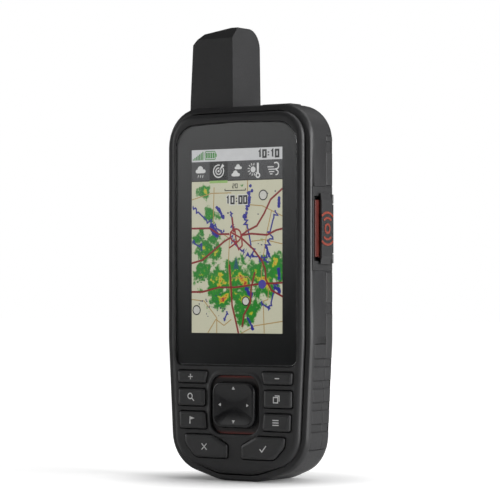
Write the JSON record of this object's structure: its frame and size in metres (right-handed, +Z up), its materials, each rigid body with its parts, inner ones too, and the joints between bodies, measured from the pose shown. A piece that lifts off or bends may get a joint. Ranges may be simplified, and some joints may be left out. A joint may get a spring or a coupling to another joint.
{
  "type": "handheld satellite navigator",
  "caption": "Upright handheld navigator with colour map screen, keypad with tilting rocker, square stub antenna, hinged guard over a distress button, and ribbed side grips.",
  "frame": {"origin": "on the flat base land under the middle of the body", "axes": "+X to the side of the distress button, +Y out of the back, +Z up through the antenna; the screen faces -Y"},
  "size_m": [0.0637, 0.035, 0.1623],
  "materials": {
    "black_housing": "satin charcoal polycarbonate",
    "cover_glass": "gloss toughened glass",
    "black_print": "black printed border",
    "black_rubber": "matt",
    "screen": "colour picture panel",
    "steel": "satin",
    "gold_contact": "satin",
    "key_rubber": "satin moulded key",
    "red_accent": "dark red",
    "gloss_black": "polished",
    "circuit_board": "solder mask green",
    "battery_wrap": "shrink wrap",
    "wire": "insulated wire",
    "speaker_black": "matt",
    "grip_rubber": "matt overmoulded rubber",
    "ceramic_body": "sintered ceramic",
    "emblem_orange": "orange red overmould",
    "torch_glass": "clear lens",
    "led_chip": "phosphor"
  },
  "bodies": {
    "housing": {"front_housing": "black_housing", "display_lens": "cover_glass", "lens_mask": "black_print", "lens_gasket": "black_rubber", "lcd_module": "screen", "lcd_bracket": "steel", "lcd_flex": "gold_contact", "keypad_mat": "black_rubber", "rocker_ring": "red_accent", "dome_switches": "steel", "main_board": "circuit_board", "shield_cans": "steel", "battery_pack": "battery_wrap", "battery_lead": "wire", "speaker": "speaker_black", "rear_housing": "black_housing", "housing_seal": "black_rubber", "grip_right": "grip_rubber", "grip_left": "grip_rubber", "antenna_cover": "black_housing", "helix_antenna": "ceramic_body", "antenna_coax": "wire", "patch_antenna": "ceramic_body", "power_switch": "steel", "sos_frame": "black_housing", "sos_pin": "steel", "sos_switch": "steel", "usb_connector": "steel", "usb_cap_pin": "steel", "rear_board": "circuit_board", "torch_lens": "torch_glass", "torch_led": "led_chip", "mounting_spine": "black_housing", "spine_screws": "steel", "case_screws": "steel"},
    "zoom_in_key": {"key_zoom_in": "key_rubber"},
    "zoom_out_key": {"key_zoom_out": "key_rubber"},
    "find_key": {"key_find": "key_rubber"},
    "page_key": {"key_page": "key_rubber"},
    "mark_key": {"key_mark": "key_rubber"},
    "menu_key": {"key_menu": "key_rubber"},
    "quit_key": {"key_quit": "key_rubber"},
    "enter_key": {"key_enter": "key_rubber"},
    "rocker_carrier": {"rocker_carrier": "steel"},
    "rocker": {"rocker_cap": "gloss_black"},
    "power_button": {"power_button": "key_rubber"},
    "distress_button": {"sos_button": "red_accent"},
    "distress_cover": {"sos_cover": "black_housing", "sos_emblem": "emblem_orange"},
    "port_cap": {"usb_cap": "black_rubber"}
  },
  "joints": [
    {"name": "zoom_in_press", "type": "slide", "parent": "housing", "child": "zoom_in_key", "axis": [0, 1, 0], "range_m": [0, 0.0006], "stiffness_N_per_m": 1500},
    {"name": "zoom_out_press", "type": "slide", "parent": "housing", "child": "zoom_out_key", "axis": [0, 1, 0], "range_m": [0, 0.0006], "stiffness_N_per_m": 1500},
    {"name": "find_press", "type": "slide", "parent": "housing", "child": "find_key", "axis": [0, 1, 0], "range_m": [0, 0.0006], "stiffness_N_per_m": 1500},
    {"name": "page_press", "type": "slide", "parent": "housing", "child": "page_key", "axis": [0, 1, 0], "range_m": [0, 0.0006], "stiffness_N_per_m": 1500},
    {"name": "mark_press", "type": "slide", "parent": "housing", "child": "mark_key", "axis": [0, 1, 0], "range_m": [0, 0.0006], "stiffness_N_per_m": 1500},
    {"name": "menu_press", "type": "slide", "parent": "housing", "child": "menu_key", "axis": [0, 1, 0], "range_m": [0, 0.0006], "stiffness_N_per_m": 1500},
    {"name": "quit_press", "type": "slide", "parent": "housing", "child": "quit_key", "axis": [0, 1, 0], "range_m": [0, 0.0006], "stiffness_N_per_m": 1500},
    {"name": "enter_press", "type": "slide", "parent": "housing", "child": "enter_key", "axis": [0, 1, 0], "range_m": [0, 0.0006], "stiffness_N_per_m": 1500},
    {"name": "rocker_tilt_x", "type": "hinge", "parent": "housing", "child": "rocker_carrier", "pos_m": [0, -0.0139, 0.02705], "axis": [1, 0, 0], "range_deg": [-3, 3], "stiffness_Nm_per_rad": 0.08},
    {"name": "rocker_tilt_z", "type": "hinge", "parent": "rocker_carrier", "child": "rocker", "pos_m": [0, -0.0139, 0.02705], "axis": [0, 0, 1], "range_deg": [-3, 3], "stiffness_Nm_per_rad": 0.08},
    {"name": "power_press", "type": "slide", "parent": "housing", "child": "power_button", "axis": [0, 0, -1], "range_m": [0, 0.0004], "stiffness_N_per_m": 1500},
    {"name": "distress_press", "type": "slide", "parent": "housing", "child": "distress_button", "axis": [-1, 0, 0], "range_m": [0, 0.0007], "stiffness_N_per_m": 1500},
    {"name": "distress_cover_hinge", "type": "hinge", "parent": "housing", "child": "distress_cover", "pos_m": [0.03175, -0.002, 0.08895], "axis": [0, 0, 1], "range_deg": [0, 100]},
    {"name": "port_cap_hinge", "type": "hinge", "parent": "housing", "child": "port_cap", "pos_m": [0.0074, 0.013, 0.1098], "axis": [0, 0, -1], "range_deg": [0, 110]}
  ]
}
